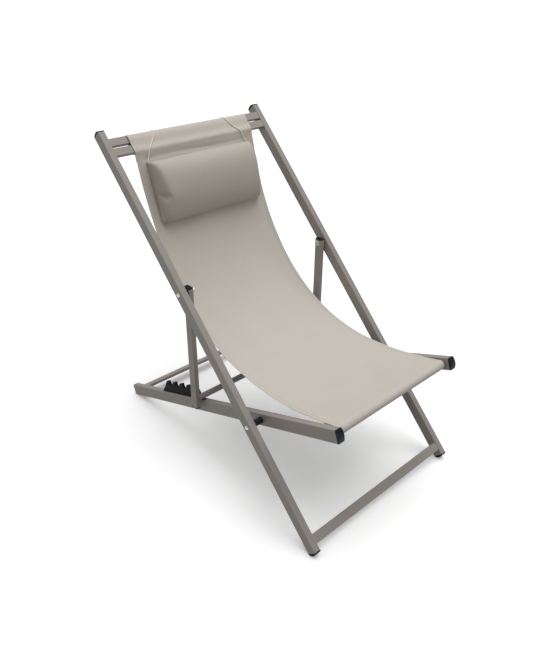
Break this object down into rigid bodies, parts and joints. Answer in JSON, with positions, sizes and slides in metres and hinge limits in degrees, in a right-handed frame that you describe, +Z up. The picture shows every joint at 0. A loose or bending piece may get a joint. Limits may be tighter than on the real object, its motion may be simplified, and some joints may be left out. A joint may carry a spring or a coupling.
{
  "type": "folding sling deck chair",
  "caption": "Folding sling deck chair: tube frame with crossed rails, swinging rear prop on notched racks, fabric sling seat and strapped head pillow.",
  "frame": {"origin": "on the floor, at the centre of the footprint", "axes": "+X to the sitter's left, -Y the way the sitter faces, +Z up"},
  "size_m": [0.589, 0.9418, 0.9284],
  "materials": {
    "frame_coat": "satin taupe powder coat on aluminium tube",
    "cap_plastic": "blue-black moulded polymer, fine texture",
    "rack_plastic": "black moulded nylon",
    "zinc_steel": "bright zinc-plated steel",
    "sling_fabric": "light warm grey coated mesh weave",
    "pillow_fabric": "light warm grey coated mesh weave, padded",
    "elastic_cord": "pale grey elastic cord"
  },
  "bodies": {
    "seat_frame": {"seat_rail_right": "frame_coat", "seat_rail_left": "frame_coat", "seat_front_tube": "frame_coat", "seat_rear_bar": "frame_coat", "seat_front_caps": "cap_plastic", "seat_rear_plugs": "cap_plastic", "notch_rack_right": "rack_plastic", "notch_rack_left": "rack_plastic", "sling": "sling_fabric"},
    "back_frame": {"back_rail_right": "frame_coat", "back_rail_left": "frame_coat", "top_bar_upper": "frame_coat", "top_bar_lower": "frame_coat", "foot_bar": "frame_coat", "back_top_caps": "cap_plastic", "back_foot_caps": "cap_plastic", "seat_pivot_bolts": "zinc_steel", "seat_pivot_spacers": "cap_plastic", "seat_pivot_washers": "zinc_steel", "seat_pivot_nuts": "zinc_steel", "prop_pivot_bolts": "zinc_steel", "prop_pivot_spacers": "cap_plastic", "prop_pivot_washers": "zinc_steel", "prop_pivot_nuts": "zinc_steel", "head_pillow": "pillow_fabric", "pillow_straps": "elastic_cord"},
    "prop_frame": {"prop_rail_right": "frame_coat", "prop_rail_left": "frame_coat", "prop_cross_tube": "frame_coat", "prop_top_caps": "cap_plastic", "prop_foot_caps": "cap_plastic"}
  },
  "joints": [
    {"name": "back_hinge", "type": "hinge", "parent": "seat_frame", "child": "back_frame", "pos_m": [0, -0.20265, 0.27321], "axis": [1, 0, 0], "range_deg": [0, 35], "deforming": ["sling"]},
    {"name": "prop_hinge", "type": "hinge", "parent": "back_frame", "child": "prop_frame", "pos_m": [0, 0.0699, 0.55842], "axis": [1, 0, 0], "range_deg": [-35, 0]}
  ],
  "couplings": [
    {"joint": "prop_hinge", "follows": "back_hinge", "ratio": -1}
  ]
}
